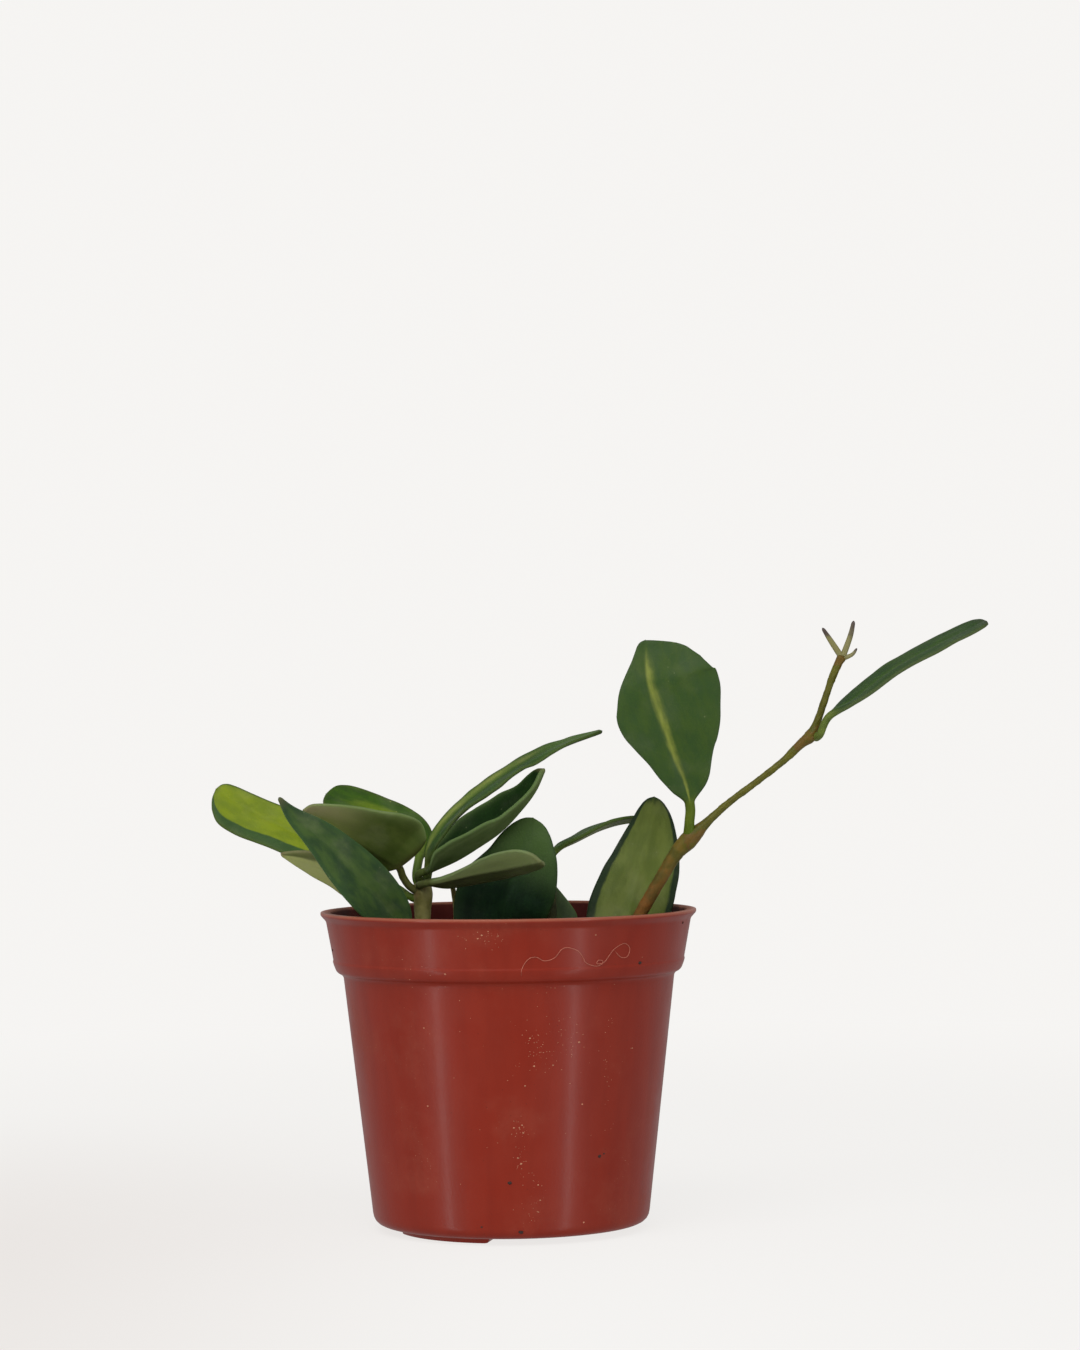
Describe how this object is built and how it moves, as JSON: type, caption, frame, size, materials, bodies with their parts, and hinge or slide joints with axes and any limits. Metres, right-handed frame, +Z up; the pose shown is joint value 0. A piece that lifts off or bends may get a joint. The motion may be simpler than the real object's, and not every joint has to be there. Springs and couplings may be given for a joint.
{
  "type": "potted hoya",
  "caption": "Young hoya with thick waxy leaves on short stems and a slanting vine, in a round tapered plastic nursery pot filled with soil.",
  "frame": {"origin": "middle of the pot's underside, on the surface the pot stands on", "axes": "+Z up through the pot's mouth, front of the pot towards -Y, the vine's tip towards +X"},
  "size_m": [0.1882, 0.09, 0.1448],
  "materials": {
    "pot_plastic": "satin terracotta red, thin moulded plastic with fine scuffs",
    "potting_mix": "dark damp peat and bark crumbs, rough",
    "green_stem": "smooth green-brown young stem, satin",
    "vine_bark": "brown-orange bark low down, olive and smooth higher up",
    "leaf_bright": "yellow-green middle with a dark green margin, waxy",
    "leaf_dark": "dark green, waxy, with a faint paler midrib",
    "leaf_pale": "olive and grey-green, waxy, with a darker margin"
  },
  "bodies": {
    "root": {"pot": "pot_plastic", "soil": "potting_mix", "stem_left": "green_stem", "stem_front_left": "green_stem", "stem_middle": "green_stem", "thin_shoot": "green_stem", "vine_right": "vine_bark", "leaf_far_left": "leaf_bright", "leaf_front_left": "leaf_dark", "leaf_low_left": "leaf_pale", "leaf_mid_left": "leaf_pale", "leaf_back_left": "leaf_bright", "leaf_long_right": "leaf_bright", "leaf_channelled": "leaf_dark", "leaf_level": "leaf_pale", "leaf_broad_middle": "leaf_dark", "leaf_small_middle": "leaf_pale", "leaf_arching": "leaf_dark", "leaf_broad_right": "leaf_pale", "leaf_vine_upright": "leaf_dark", "leaf_vine_tip": "leaf_dark"}
  },
  "joints": []
}
